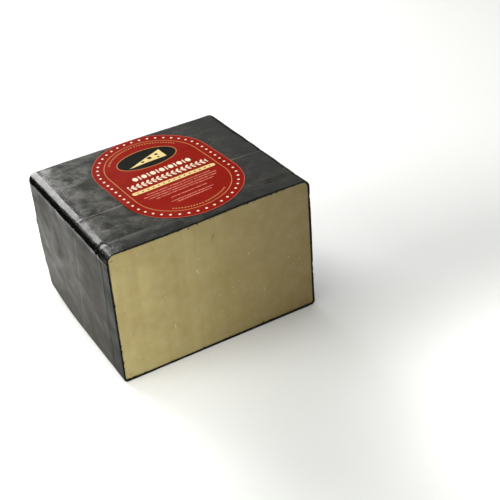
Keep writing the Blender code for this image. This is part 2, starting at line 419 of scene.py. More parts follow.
class Shape:
    """The block's own shape, worked out from its sizes, which every piece is laid on."""

    def __init__(self, scene):
        sizes = scene.cheddar_block
        self.half_width = sizes.width / 2
        self.half_depth = sizes.depth / 2
        self.height = sizes.height
        self.top_radius = sizes.top_radius
        self.base_radius = sizes.base_radius
        self.wax = sizes.wax_thickness
        self.gap = sizes.fit_gap

    def corners(self, inset):
        """The box taken in by inset on its waxed sides, as its lowest and highest corner."""
        low = Vector((inset - self.half_width, -self.half_depth, inset))
        high = Vector((self.half_width - inset, self.half_depth - inset, self.height - inset))
        return low, high

    def settled(self, point):
        """Where a point of the true box lies in the real block, with its tilted top and twisted cut."""
        across = point.x / self.half_width
        back = point.y / self.half_depth
        up = point.z / self.height
        near_cut = (1 - back) / 2
        lift = TOP_RISES_TO_RIGHT * across - TOP_FALLS_TO_BACK * back
        lift += TOP_CROWN * (1 - across * across) * (1 - near_cut)
        lift -= TOP_WAVE * math.sin(math.pi * (across + 1)) * near_cut
        lean = SIDE_LEAN * (1 - across) / 2 * near_cut
        twist = CUT_TWIST * across * near_cut
        return Vector((point.x + lean * up, point.y + twist * up, point.z + lift * up))

    def corner_wear(self, point):
        """How much rounder the lower edges are at a point, which is most at the lower back left corner."""
        at_back = smooth_step(point.y, CORNER_WEAR_FRONT, self.half_depth)
        at_left = 1 - smooth_step(point.x, -self.half_width, CORNER_WEAR_RIGHT)
        low_down = 1 - smooth_step(point.z, CORNER_WEAR_LOW, CORNER_WEAR_HIGH)
        return CORNER_WEAR * at_back * at_left * low_down

    def rounded(self, point, inset):
        """A point on or in the plain box moved to the box with round edges, and the way out of it there."""
        top_radius = self.top_radius - inset
        base_radius = self.base_radius + self.corner_wear(point) - inset
        share = smooth_step(point.z, 0.0, self.height)
        radius = base_radius + (top_radius - base_radius) * share
        reach = self.half_width - inset - radius
        core = Vector((
            clamp(point.x, -reach, reach),
            min(point.y, self.half_depth - inset - radius),
            clamp(point.z, inset + base_radius, self.height - inset - top_radius),
        ))
        away = point - core
        distance = max(abs(away.x), abs(away.y), abs(away.z))
        if distance < 1e-7:
            return point.copy(), Vector((0, 0, 0))
        away.normalize()
        return core + away * distance, away

    def behind_crease(self, place):
        """How far a place on the wax lies behind the crease, along Y."""
        share = smooth_step(place.x, CREASE_BEND_FROM, CREASE_BEND_TO)
        crease = CREASE_LEFT_Y + (CREASE_RIGHT_Y - CREASE_LEFT_Y) * share
        return place.y - crease - CREASE_FALL_Y * (1 - place.z / self.height)

    def wax_relief(self, place):
        """How far the wax stands out at a place, and nothing on the base."""
        height = noise.noise(place / DIP_WAVE_LENGTH) * DIP_WAVE_HEIGHT
        groove = GROOVE_DEPTH * bell(place.y, GROOVE_BEHIND_CUT - self.half_depth, GROOVE_HALF_WIDTH)
        groove *= smooth_step(abs(place.x), GROOVE_STARTS, GROOVE_FULL)
        height -= groove * (1 - GROOVE_FADE * smooth_step(abs(place.x), GROOVE_FADES_FROM, GROOVE_FADES_TO))
        height += (noise.noise(place / LUMP_LENGTH) - 0.7) * LUMP_HEIGHT
        height += (noise.noise(place / RIPPLE_LENGTH) - 0.7) * RIPPLE_HEIGHT
        behind = self.behind_crease(place)
        near_crease = bell(behind, 0.0, 4 * CREASE_HALF_WIDTH)
        height += CREASE_STEP * (bell(behind, 0.0, CREASE_HALF_WIDTH) - 1) * near_crease
        height -= self.edge_sag(place)
        return height * smooth_step(place.z, 0.0, FLAT_BASE_HEIGHT)

    def edge_sag(self, place):
        """How far the top falls towards its left edge, more so by the cut."""
        to_edge = clamp((EDGE_SAG_REACH - self.half_width - place.x) / EDGE_SAG_REACH, 0.0, 1.0)
        near_cut = 1 - smooth_step(place.y, -self.half_depth, EDGE_SAG_BACK)
        high_up = smooth_step(place.z, self.height - self.top_radius, self.height)
        return EDGE_SAG * to_edge**2 * near_cut * high_up

    def drip_relief(self, place):
        """The drips on the back left edge."""
        near_edge = bell(place.x, -self.half_width, DRIP_REACH) * bell(place.y, self.half_depth, DRIP_REACH)
        return near_edge * sum(out * bell(place.z, up, half) for up, half, out in DRIPS)

    def cut_relief(self, x, z):
        """How far the cut face lies behind the cut's plane."""
        wave = noise.noise(Vector((x * 0.3, 0.0, z)) / WIRE_WAVE_LENGTH)
        depth = WIRE_WAVE_HEIGHT * (1 + wave)
        for dip_x, dip_z, half_x, half_z, dip_depth in CUT_DIPS:
            near = bell(x, dip_x * MM, half_x * MM) * bell(z, dip_z * MM, half_z * MM)
            depth += dip_depth * MM * near
        return depth

    def fine_cut_relief(self, x, z):
        """The curds and the wire's drag lines, which run down the cut."""
        curds = noise.noise(Vector((x, 0.0, z)) / CURD_LENGTH) * CURD_RELIEF
        drag = noise.noise(Vector((x / DRAG_LENGTHS[0], 3.0, z / DRAG_LENGTHS[1]))) * DRAG_RELIEF
        return curds + drag

    def on_top(self, x, run_y, height):
        """A place over the waxed top, run_y along it, which bends down over the back edge."""
        flat_end = self.half_depth - self.top_radius
        bend = max(0.0, run_y - flat_end) / self.top_radius
        away = Vector((0.0, math.sin(bend), math.cos(bend)))
        core = Vector((x, min(run_y, flat_end), self.height - self.top_radius))
        place = core + away * self.top_radius
        return self.settled(place + away * (self.wax_relief(place) + height))


def deselect_everything():
    if bpy.context.object and bpy.context.object.mode != "OBJECT":
        bpy.ops.object.mode_set(mode="OBJECT")
    bpy.ops.object.select_all(action="DESELECT")


def add_box(name, low, high):
    """A cube primitive brought to its size and place, which are then part of its mesh."""
    deselect_everything()
    bpy.ops.mesh.primitive_cube_add(size=1, location=(low + high) / 2)
    box = bpy.context.object
    box.name = name
    box.data.name = name
    box.scale = high - low
    bpy.ops.object.transform_apply(location=True, rotation=True, scale=True)
    return box


def select_in_edit(piece, kind, wanted):
    """Selects just the wanted edges or faces of a piece that is in edit mode."""
    bpy.ops.mesh.select_mode(type=kind)
    bpy.ops.mesh.select_all(action="DESELECT")
    bm = bmesh.from_edit_mesh(piece.data)
    for item in bm.edges if kind == "EDGE" else bm.faces:
        if wanted(item):
            item.select_set(True)
    bm.select_flush_mode()
    bmesh.update_edit_mesh(piece.data)


def runs_along(edge, axis):
    step = edge.verts[1].co - edge.verts[0].co
    return abs(step[axis]) > 0.99 * step.length


def divide_along(piece, axis, cells, wanted=lambda edge: True):
    """Divides the wanted edges that run along one axis, first coarsely and then each part again."""
    for count in cells:
        select_in_edit(piece, "EDGE", lambda edge: runs_along(edge, axis) and wanted(edge))
        bpy.ops.mesh.subdivide(number_cuts=count - 1, smoothness=0, ngon=True)


def on_cut(item, shape):
    """Whether an edge or face lies in the plane of the cut."""
    return all(abs(vert.co.y + shape.half_depth) < SAME_PLANE for vert in item.verts)


def extrude_to(low, high, old_low, old_high, back=0.0):
    """Extrudes the selected loop by back along Y and brings its rectangle from the old to the new one."""
    move = {"value": (0.0, back, 0.0)}
    bpy.ops.mesh.extrude_edges_move(TRANSFORM_OT_translate=move)
    scale = [(high[i] - low[i]) / (old_high[i] - old_low[i]) for i in (0, 2)]
    middle = (low + high) / 2
    bpy.ops.transform.resize(value=(scale[0], 1.0, scale[1]), center_override=(middle.x, 0.0, middle.z))


def split_many_sided(piece):
    """Splits the faces of five and more sides into even triangles."""
    bpy.ops.object.mode_set(mode="EDIT")
    select_in_edit(piece, "FACE", lambda face: len(face.verts) > 4)
    bpy.ops.mesh.quads_convert_to_tris(quad_method="BEAUTY", ngon_method="BEAUTY")
    bpy.ops.object.mode_set(mode="OBJECT")


def finish_piece(piece, materials, node=None, *, angle):
    """Gives a piece its materials and its smooth faces, and lets it stand for its solid."""
    deselect_everything()
    piece.select_set(True)
    bpy.context.view_layer.objects.active = piece
    split_many_sided(piece)
    piece.data.materials.clear()
    for material in materials:
        piece.data.materials.append(material)
    bpy.ops.object.shade_smooth_by_angle(angle=math.radians(angle))
    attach(piece, "root")
    if node:
        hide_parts(node)


def add_node(tree, kind, inputs=(), output=0, **settings):
    """Adds a shader node with its settings and inputs, and gives one of its outputs.

    The inputs are named, or in the node's own order: a Map Range takes a value, its old span and its new one.
    """
    node = tree.nodes.new("ShaderNode" + kind)
    for name, value in settings.items():
        setattr(node, name, value)
    set_inputs(tree, node, inputs)
    return node.outputs[output]


def set_inputs(tree, node, inputs):
    """Sets a node's inputs to values, or links them to other nodes' outputs. Colours get their alpha here."""
    for socket, value in inputs.items() if isinstance(inputs, dict) else enumerate(inputs):
        if isinstance(value, bpy.types.NodeSocket):
            tree.links.new(value, node.inputs[socket])
        elif node.inputs[socket].type == "RGBA":
            node.inputs[socket].default_value = (*value, 1.0)
        else:
            node.inputs[socket].default_value = value


def new_material(name):
    """An empty material, with its tree and its Principled shader."""
    material = bpy.data.materials.new(name)
    material.use_nodes = True
    tree = material.node_tree
    return material, tree, tree.nodes["Principled BSDF"]


def painted_over(tree, ground, layers):
    """A colour that each layer covers by its share, in order. A layer pairs a share with a colour."""
    for share, colour in layers:
        ground = add_node(
            tree, "Mix", {"Factor": share, "A": ground, "B": colour}, output="Result", data_type="RGBA"
        )
    return ground


def product(tree, *shares):
    """Shares multiplied together: 1 only where all of them are."""
    whole = shares[0]
    for share in shares[1:]:
        whole = add_node(tree, "Math", (whole, share), operation="MULTIPLY")
    return whole


def weighted_sum(tree, ground, parts):
    """A value with parts added to it, each by its weight."""
    for part, weight in parts:
        ground = add_node(tree, "Math", (part, weight, ground), operation="MULTIPLY_ADD")
    return ground


def apart(tree, value, other):
    """How far apart two values are."""
    step = add_node(tree, "Math", (value, other), operation="SUBTRACT")
    return add_node(tree, "Math", (step,), operation="ABSOLUTE")


def stretched_noise(tree, place, size, turn, distortion, detail=3.0):
    """Noise whose grains have a size along each axis and are then turned."""
    grain = add_node(
        tree, "Mapping", {"Vector": place, "Rotation": turn, "Scale": size}, vector_type="TEXTURE"
    )
    return add_node(
        tree, "TexNoise", {"Vector": grain, "Scale": 1.0, "Detail": detail, "Distortion": distortion}
    )


def thin_lines(tree, noise_value, width):
    """1 on the thin lines where noise crosses its middle, and 0 beside them."""
    return add_node(tree, "MapRange", (apart(tree, noise_value, 0.5), 0.0, width, 1.0, 0.0))


def black_dipped_wax(finish):
    """Black cheese wax, put on by dipping and then handled.

    The eye gets a near black ground with a satin gloss, blotched where hands and boxes have rubbed it, a
    warm grey film in soft streaks, thin light scuffs, a light crease where two dips meet, and a cooler and
    cleaner band by the cut.
    """
    material, tree, shader = new_material("black dipped wax")
    place = add_node(tree, "TexCoord", output="Object")
    x, y, z = add_node(tree, "SeparateXYZ", (place,)).node.outputs
    on_top = add_node(tree, "MapRange", (z, *TOP_STARTS))

    # Hands and boxes rub patches of about 15 mm, and smaller ones of 3 mm in them.
    blotches = add_node(
        tree, "TexNoise",
        {"Vector": place, "Scale": 62.0, "Detail": 3.0, "Roughness": 0.55, "Distortion": 0.4},
    )
    specks = add_node(tree, "TexNoise", {"Vector": place, "Scale": 330.0, "Detail": 3.0})

    # Streaks from the dipping run across the top, and level on the sides.
    top_streaks = stretched_noise(tree, place, *TOP_STREAKS)
    side_streaks = stretched_noise(tree, place, *SIDE_STREAKS)
    streaks = add_node(tree, "MapRange", (on_top, 0.0, 1.0, side_streaks, top_streaks))

    # The crease where two dips meet, in the same place as its relief.
    crease_bend = add_node(
        tree, "MapRange", (x, CREASE_BEND_FROM, CREASE_BEND_TO, CREASE_LEFT_Y, CREASE_RIGHT_Y), **SMOOTH
    )
    crease_fall = add_node(tree, "MapRange", (z, 0.0, BLOCK_HEIGHT, CREASE_FALL_Y, 0.0))
    crease_y = add_node(tree, "Math", (crease_bend, crease_fall), operation="ADD")
    from_crease = add_node(tree, "Math", (y, crease_y), operation="SUBTRACT")
    wobble = add_node(tree, "Math", (specks, 2 * CREASE_WOBBLE, -CREASE_WOBBLE), operation="MULTIPLY_ADD")
    from_crease = add_node(tree, "Math", (from_crease, wobble), operation="ADD")
    from_crease = add_node(tree, "Math", (from_crease,), operation="ABSOLUTE")
    crease_width = add_node(tree, "MapRange", (z, *CREASE_NARROWS, *CREASE_LINE_WIDTHS))
    crease_strength = add_node(tree, "MapRange", (z, *CREASE_NARROWS, *CREASE_LINE_STRENGTHS))
    crease_line = add_node(tree, "MapRange", (from_crease, 0.0, crease_width, crease_strength, 0.0))
    crease_patches = add_node(tree, "MapRange", (streaks, 0.30, 0.55))

    # The band by the cut ends at the groove, which leans forwards on its way up the ends.
    groove_y = add_node(tree, "MapRange", (z, *GROOVE_LEANS, *GROOVE_LINE_Y))
    in_front = add_node(tree, "Math", (groove_y, y), operation="SUBTRACT")
    band = add_node(tree, "MapRange", (in_front, *BAND_ENDS), **SMOOTH)

    # Rubbing keeps the upper edge of the ends clean and smooth.
    off_edge = apart(tree, z, RUBBED_HEIGHT)
    edge_reach = add_node(tree, "MapRange", (x, *LEFT_CORNER, *RUBBED_REACH))
    edge_reach = add_node(tree, "MapRange", (on_top, 0.0, 1.0, edge_reach, RUBBED_REACH[0]))
    edge = add_node(tree, "MapRange", (off_edge, RUBBED_HALF_WIDTH, edge_reach, 1.0, 0.0), **SMOOTH)
    by_left_edge = add_node(tree, "MapRange", (x, *LEFT_EDGE, 1.0, 0.0), **SMOOTH)
    by_left_edge = add_node(tree, "Math", (by_left_edge, on_top), operation="MULTIPLY")
    edge = add_node(tree, "Math", (edge, by_left_edge), operation="MAXIMUM")
    off_rubbed = add_node(tree, "Math", (1.0, edge), operation="SUBTRACT")

    # Dabs with firmer edges, where the wax was pressed against cloth.
    dabs = stretched_noise(tree, place, *DABS)
    dab_share = add_node(tree, "MapRange", (dabs, 0.46, 0.57), **SMOOTH)

    # On the sides the film is evener, and on the top it thins out towards the right.
    film_patches = add_node(tree, "MapRange", (blotches, 0.44, 0.57, 0.0, 0.32))
    film_streaks = add_node(tree, "MapRange", (streaks, 0.50, 0.80, 0.0, 0.20))
    film = weighted_sum(tree, film_streaks, ((dab_share, 0.26), (film_patches, 1.0)))
    even_film = add_node(tree, "Math", (film, 0.45, 0.20), operation="MULTIPLY_ADD")
    handled = add_node(tree, "MapRange", (x, *HANDLED_LESS, 1.0, 0.5), **SMOOTH)
    even_film = add_node(tree, "Math", (even_film, handled), operation="MULTIPLY")
    thinned = add_node(tree, "MapRange", (x, *FILM_THINS, 1.0, 0.45), **SMOOTH)
    thin_film = add_node(tree, "Math", (film, thinned), operation="MULTIPLY")
    film = add_node(tree, "MapRange", (on_top, 0.0, 1.0, even_film, thin_film))
    cleaner = add_node(tree, "Math", (band, -0.35, 1.0), operation="MULTIPLY_ADD")
    film = product(tree, film, off_rubbed, cleaner)
    cool = add_node(tree, "Math", (on_top, 0.55), operation="MULTIPLY")
    cool = add_node(tree, "Math", (cool, band), operation="MAXIMUM")
    film_colour = painted_over(tree, finish.wax_film, ((cool, finish.wax_film_cool),))

    # Scratches are the thin lines where a stretched noise crosses its middle, and show in patches.
    scratch_lines = thin_lines(tree, stretched_noise(tree, place, *SCRATCHES, detail=1.0), SCRATCH_WIDTH)
    scratch_patches = add_node(tree, "MapRange", (blotches, 0.50, 0.62))
    scratches = product(tree, scratch_lines, scratch_patches, off_rubbed)
    scratch_strength = add_node(tree, "MapRange", (on_top, 0.0, 1.0, 0.05, 0.16))
    scuffs = add_node(tree, "Math", (scratches, scratch_strength), operation="MULTIPLY")
    crease = product(tree, crease_line, crease_patches, off_rubbed)
    colour = painted_over(
        tree, finish.wax, ((film, film_colour), (scuffs, finish.wax_scuff), (crease, finish.wax_scuff))
    )

    # The sides, which lay against other blocks, are matter than the top. They are mattest at the bottom and
    # towards the cut, and most of all along the groove.
    matt_clouds = stretched_noise(tree, place, *MATT_CLOUDS)
    matt_clouds = add_node(tree, "MapRange", (matt_clouds, 0.36, 0.64, 0.11, 0.23), **SMOOTH)
    towards_cut = add_node(tree, "MapRange", (y, *MATTER_TOWARDS_CUT, 0.0, 0.11), **SMOOTH)
    towards_base = add_node(tree, "MapRange", (z, *MATTER_TOWARDS_BASE, 0.0, 0.10), **SMOOTH)
    off_groove = add_node(tree, "Math", (in_front,), operation="ABSOLUTE")
    by_groove = add_node(tree, "MapRange", (off_groove, 0.0, GROOVE_MATT_REACH, 0.22, 0.0), **SMOOTH)
    matt = weighted_sum(tree, matt_clouds, ((towards_cut, 1.0), (towards_base, 1.0), (by_groove, 1.0)))
    matt_below = add_node(tree, "MapRange", (x, *LEFT_CORNER, *MATT_BELOW))
    on_side = add_node(tree, "MapRange", (z, matt_below, MATT_ENDS, matt, 0.0), **SMOOTH)
    rubbed = add_node(tree, "MapRange", (blotches, 0.32, 0.68, 0.11, 0.23))
    roughness = weighted_sum(
        tree, rubbed, ((streaks, 0.10), (edge, -0.09), (dab_share, 0.05), (on_side, 1.0))
    )

    # Fine cracks across the upper left edge, where the wax was bent.
    crack_lines = thin_lines(tree, stretched_noise(tree, place, *CRACKS, detail=2.0), CRACK_WIDTH)
    cracks = add_node(tree, "Math", (crack_lines, by_left_edge), operation="MULTIPLY")
    height = weighted_sum(
        tree, blotches, ((streaks, 0.5), (specks, 0.12), (dabs, 0.4), (scratches, -0.12), (cracks, -3.0))
    )
    flat_strength = add_node(tree, "MapRange", (on_top, 0.0, 1.0, 0.36, 0.5))
    bump_strength = add_node(tree, "MapRange", (edge, 0.0, 1.0, flat_strength, 0.2))
    bump = add_node(tree, "Bump", {"Strength": bump_strength, "Distance": 0.16 * MM, "Height": height})
    set_inputs(
        tree, shader,
        {
            "Base Color": colour, "Roughness": roughness, "Normal": bump, "IOR": 1.31,
            "Specular Tint": linear("#fffcf2"),
        },
    )
    return material


def cut_wax_rim(finish):
    """The same wax where the wire cut it: the eye gets a matt black line with torn grains in it."""
    material, tree, shader = new_material("wire cut wax")
    place = add_node(tree, "TexCoord", output="Object")
    grains = add_node(tree, "TexNoise", {"Vector": place, "Scale": 900.0, "Detail": 3.0, "Roughness": 0.6})
    lit = add_node(tree, "MapRange", (grains, 0.55, 0.8, 0.0, 0.35))
    colour = painted_over(tree, linear("#080805"), ((lit, finish.wax_film),))
    bump = add_node(tree, "Bump", {"Strength": 0.8, "Distance": 0.15 * MM, "Height": grains})
    set_inputs(
        tree, shader,
        {"Base Color": colour, "Normal": bump, "Roughness": 0.62, "Specular IOR Level": 0.18, "IOR": 1.44},
    )
    return material


def oval_share(tree, place, middle, half_size, turn=0.0, edge=0.25):
    """1 inside an oval of the XY plane and 0 outside it. The soft edge is a share of the oval's half size."""
    local = add_node(
        tree, "Mapping",
        {
            "Vector": place, "Location": (*middle, 0.0), "Rotation": (0.0, 0.0, turn),
            "Scale": (*half_size, 1.0),
        },
        vector_type="TEXTURE",
    )
    reach = add_node(tree, "VectorMath", (local,), output="Value", operation="LENGTH")
    return add_node(tree, "MapRange", (reach, 1 - edge, 1.0, 1.0, 0.0), **SMOOTH)


def aged_cheddar_paste(finish):
    """Aged white cheddar, cut with a wire.

    The eye gets a dense waxy cream with slow clouds of a deeper yellow, faint bands where the wire dragged,
    small pale crystals, a few bruises and cracks, and a low oily gloss.
    """
    material, tree, shader = new_material("wire cut aged cheddar")
    place = add_node(tree, "TexCoord", output="Object")
    clouds = add_node(tree, "TexNoise", {"Vector": place, "Scale": 30.0, "Detail": 4.0, "Roughness": 0.55})
    deeper = add_node(tree, "MapRange", (clouds, 0.40, 0.72, 0.0, 0.6))

    # Curds of about 6 mm knit into the paste, a little paler in their middles.
    curds = add_node(
        tree, "TexVoronoi", {"Vector": place, "Scale": 150.0, "Randomness": 1.0}, output="Distance",
        feature="SMOOTH_F1",
    )
    curd_share = add_node(tree, "MapRange", (curds, 0.1, 0.7, 0.11, 0.0))

    # The wire left faint bands down the cut, about 9 mm wide.
    band_place = add_node(tree, "Mapping", {"Vector": place, "Scale": (110.0, 110.0, 7.0)})
    bands = add_node(tree, "TexNoise", {"Vector": band_place, "Scale": 1.0, "Detail": 2.0})
    band_share = add_node(tree, "MapRange", (bands, 0.45, 0.75, 0.0, 0.35))

    # Crystals are about 0.5 mm across in the real cheese, and 0.9 mm here so that they show.
    crystals = add_node(
        tree, "TexVoronoi", {"Vector": place, "Scale": 260.0, "Randomness": 1.0}, output="Distance"
    )
    crystals = add_node(tree, "MapRange", (crystals, 0.06, 0.13, 0.55, 0.0))

    # Painted shade: the paste is darker towards its right side, standing in for shade on that side of the
    # cut.
    across = add_node(tree, "SeparateXYZ", (place,), output="X")
    shaded = add_node(tree, "MapRange", (across, *PASTE_PAINTED_SHADE))

    # The marks lie in the plane of the cut, and noise makes their edges ragged.
    in_cut = add_node(tree, "Mapping", {"Vector": place, "Rotation": (math.radians(-90), 0.0, 0.0)})
    flat = add_node(tree, "VectorMath", (in_cut, (1.0, 1.0, 0.0)), operation="MULTIPLY")
    ragged = add_node(tree, "TexNoise", {"Vector": place, "Scale": 900.0, "Detail": 2.0}, output="Color")
    reach = (RAGGED * MM, RAGGED * MM, 0.0)
    ragged = add_node(tree, "VectorMath", (ragged, reach, flat), operation="MULTIPLY_ADD")
    layers = [
        (deeper, finish.paste_deep), (shaded, finish.paste_deep), (band_share, finish.paste_deep),
        (curd_share, finish.paste_pale), (crystals, finish.paste_pale),
    ]
    for marks, colour in ((PALE_MARKS, finish.paste_pale), (DARK_MARKS, finish.paste_crack)):
        for mark_x, mark_z, half_x, half_z, turn, strength in marks:
            middle = ((mark_x + RAGGED / 2) * MM, (mark_z + RAGGED / 2) * MM)
            inside = oval_share(tree, ragged, middle, (half_x * MM, half_z * MM), turn, edge=0.7)
            layers.append((add_node(tree, "Math", (inside, strength), operation="MULTIPLY"), colour))
    colour = painted_over(tree, finish.paste, layers)

    grain = add_node(tree, "TexNoise", {"Vector": place, "Scale": 1100.0, "Detail": 2.0})
    drag_place = add_node(tree, "Mapping", {"Vector": place, "Scale": (620.0, 620.0, 26.0)})
    drag = add_node(tree, "TexNoise", {"Vector": drag_place, "Scale": 1.0, "Detail": 2.0})
    height = weighted_sum(tree, grain, ((drag, 1.0), (curds, -0.6)))
    bump = add_node(tree, "Bump", {"Strength": 0.35, "Distance": 0.12 * MM, "Height": height})
    roughness = add_node(tree, "MapRange", (bands, 0.3, 0.7, 0.38, 0.52))
    set_inputs(
        tree, shader,
        {
            "Base Color": colour, "Roughness": roughness, "Normal": bump, "IOR": 1.46,
            "Subsurface Weight": 0.15, "Subsurface Radius": (3.0 * MM, 2.0 * MM, 0.8 * MM),
            "Subsurface Scale": 1.0,
        },
    )
    return material


def line_share(tree, value, middle, half_width):
    """1 where a value is within half a width of the middle, and 0 farther off."""
    limits = (half_width - PRINT_SOFTNESS, half_width + PRINT_SOFTNESS)
    return add_node(tree, "MapRange", (apart(tree, value, middle), *limits, 1.0, 0.0))


def repeated(tree, value, pitch):
    """A value wrapped so that it runs from minus to plus half a pitch, over and over."""
    return add_node(tree, "Math", (value, pitch / 2, -pitch / 2), operation="WRAP")


def printed_label_paper(finish, sizes):
    """Coated label paper, printed in six flat colours.

    The eye gets a deep red ground in a thin rose line, a ring of cream dots, a gold ring, a black oval with a
    wedge of cheese, rows of beads and leaves, a straw band and fine rules, on paper with a soft sheen.
    """
    material, tree, shader = new_material("printed label paper")
    place = add_node(tree, "TexCoord", output="Object")
    place = add_node(
        tree, "Mapping",
        {
            "Vector": place, "Location": (sizes.centre_x, sizes.centre_y, 0.0),
            "Rotation": (0.0, 0.0, sizes.turn), "Scale": (MM, MM, MM),
        },
        vector_type="TEXTURE",
    )
    x, y, _ = add_node(tree, "SeparateXYZ", (place,)).node.outputs
    plane = add_node(tree, "CombineXYZ", (x, y))

    # How far a place is from the edge, and how far along it from the middle of a long side.
    straight = add_node(tree, "Clamp", (y, -PRINT_STRAIGHT, PRINT_STRAIGHT))
    beyond = add_node(tree, "Math", (y, straight), operation="SUBTRACT")
    from_core = add_node(tree, "CombineXYZ", (x, beyond))
    out = add_node(tree, "VectorMath", (from_core,), output="Value", operation="LENGTH")
    inset = add_node(tree, "Math", (PRINT_RADIUS, out), operation="SUBTRACT")
    across = add_node(tree, "Math", (x,), operation="ABSOLUTE")
    bend = add_node(tree, "Math", (beyond, across), operation="ARCTAN2")
    dot_radius = PRINT_RADIUS - DOT_INSET
    along = add_node(tree, "Math", (bend, dot_radius, straight), operation="MULTIPLY_ADD")

    quarter = PRINT_STRAIGHT + dot_radius * math.pi / 2
    dot_along = repeated(tree, along, quarter / DOTS_PER_QUARTER)
    dot_out = add_node(tree, "Math", (inset, DOT_INSET), operation="SUBTRACT")
    dot_place = add_node(tree, "CombineXYZ", (dot_along, dot_out))
    dots = oval_share(tree, dot_place, (0.0, 0.0), (DOT_RADIUS, DOT_RADIUS))
    edge_line = line_share(tree, inset, EDGE_LINE_INSET, EDGE_LINE_HALF_WIDTH)
    ring = line_share(tree, inset, RING_INSET, RING_HALF_WIDTH)

    # Short gold dashes in two arcs just inside the ring.
    dash = line_share(tree, repeated(tree, along, DASH_PITCH), 0.0, DASH_HALF[0])
    far_arc = add_node(tree, "Math", (along, DASHES_ABOVE), operation="GREATER_THAN")
    near_arc = add_node(tree, "Math", (along, DASHES_BELOW), operation="LESS_THAN")
    arcs = add_node(tree, "Math", (far_arc, near_arc), operation="ADD")
    dashes = product(tree, dash, line_share(tree, inset, DASH_INSET, DASH_HALF[1]), arcs)

    # The oval with its wedge of cheese: a long triangle, and four holes.
    oval_line = oval_share(tree, plane, OVAL_MIDDLE, OVAL_HALF, edge=0.02)
    oval_half = [half - OVAL_LINE for half in OVAL_HALF]
    oval = oval_share(tree, plane, OVAL_MIDDLE, oval_half, edge=0.02)
    above_foot = add_node(tree, "Math", (y, OVAL_MIDDLE[1] - WEDGE_FOOT), operation="GREATER_THAN")
    before_back = add_node(tree, "Math", (x, WEDGE_BACK), operation="LESS_THAN")
    slope_y = add_node(tree, "Math", (x, WEDGE_SLOPE, OVAL_MIDDLE[1] + WEDGE_TOP), operation="MULTIPLY_ADD")
    under_slope = add_node(tree, "Math", (y, slope_y), operation="LESS_THAN")
    wedge = product(tree, above_foot, before_back, under_slope)
    holes = [
        oval_share(tree, plane, (hole_x, OVAL_MIDDLE[1] + hole_y), (radius, radius))
        for hole_x, hole_y, radius in WEDGE_HOLES
    ]

    # A row of round beads with a thin bar between each two, and a row of slanted leaves in pairs.
    bead_place = add_node(tree, "CombineXYZ", (repeated(tree, x, BEAD_PITCH), y))
    beads = oval_share(tree, bead_place, (0.0, BEAD_ROW_Y), BEAD_HALF)
    bar_x = add_node(tree, "Math", (x, BEAD_PITCH / 2), operation="ADD")
    bar_x = line_share(tree, repeated(tree, bar_x, BEAD_PITCH), 0.0, BAR_HALF[0])
    bars = product(tree, bar_x, line_share(tree, y, BEAD_ROW_Y, BAR_HALF[1]))
    bead_row = add_node(tree, "Math", (beads, bars), operation="MAXIMUM")
    bead_row = product(tree, bead_row, line_share(tree, x, 0.0, BEAD_ROW_HALF))
    leaf_side = apart(tree, y, LEAF_ROW_Y)
    leaf_place = add_node(tree, "CombineXYZ", (repeated(tree, x, LEAF_PITCH), leaf_side))
    leaves = oval_share(tree, leaf_place, LEAF_MIDDLE, LEAF_HALF, turn=LEAF_TURN)
    leaf_row = add_node(
        tree, "Math", (leaves, line_share(tree, leaf_side, 0.0, STEM_HALF_WIDTH)), operation="MAXIMUM"
    )
    leaf_row = product(tree, leaf_row, line_share(tree, x, 0.0, LEAF_ROW_HALF))

    # A straw band with rounded ends and a row of small red dots.
    band_run = add_node(tree, "Clamp", (x, -BAND_STRAIGHT, BAND_STRAIGHT))
    band_x = add_node(tree, "Math", (x, band_run), operation="SUBTRACT")
    band_place = add_node(tree, "CombineXYZ", (band_x, y))
    band = oval_share(tree, band_place, (0.0, BAND_Y), (BAND_HALF_HEIGHT, BAND_HALF_HEIGHT), edge=0.12)
    band_dot_place = add_node(tree, "CombineXYZ", (repeated(tree, x, BAND_DOT_PITCH), y))
    band_dots = oval_share(tree, band_dot_place, (0.0, BAND_Y), (BAND_DOT_RADIUS, BAND_DOT_RADIUS))
    band_dots = product(tree, band_dots, line_share(tree, x, 0.0, BAND_DOTS_HALF))
    layers = [
        (edge_line, finish.print_rose), (ring, finish.print_gold), (dashes, finish.print_gold),
        (dots, finish.print_cream), (oval_line, finish.print_gold), (oval, finish.print_black),
        (wedge, finish.print_straw), *((hole, finish.print_black) for hole in holes),
        (bead_row, finish.print_cream), (leaf_row, finish.print_cream), (band, finish.print_straw),
        (band_dots, finish.print_red),
    ]

    # Fine rules, broken as if they were small print. Their grain is coarser than print, so that it shows.
    broken = add_node(tree, "TexNoise", {"Vector": plane, "Scale": 0.9, "Detail": 1.0})
    broken = add_node(tree, "MapRange", (broken, 0.38, 0.52, 0.0, 0.9))
    for rule_y, half_length in FINE_RULES:
        across_rule = line_share(tree, y, rule_y, RULE_HALF_HEIGHT)
        rule = product(tree, across_rule, line_share(tree, x, 0.0, half_length), broken)
        layers.append((rule, finish.print_rose))
    colour = painted_over(tree, finish.print_red, layers)

    # Handling has dulled the print in patches of about 15 mm.
    dulled = add_node(tree, "TexNoise", {"Vector": plane, "Scale": 0.065, "Detail": 3.0})
    dull_share = add_node(tree, "MapRange", (dulled, 0.5, 0.75, 0.0, 0.35))
    darker = add_node(
        tree, "Mix", {"Factor": dull_share, "A": colour, "B": (0.55, 0.5, 0.5)}, output="Result",
        data_type="RGBA", blend_type="MULTIPLY",
    )
    fibres = add_node(tree, "TexNoise", {"Vector": plane, "Scale": 1.6, "Detail": 3.0})
    bump = add_node(tree, "Bump", {"Strength": 0.25, "Distance": 0.04 * MM, "Height": fibres})
    roughness = add_node(tree, "MapRange", (dulled, 0.3, 0.7, 0.36, 0.5))
    set_inputs(
        tree, shader,
        {"Base Color": darker, "Roughness": roughness, "Normal": bump, "Specular IOR Level": 0.02},
    )
    return material


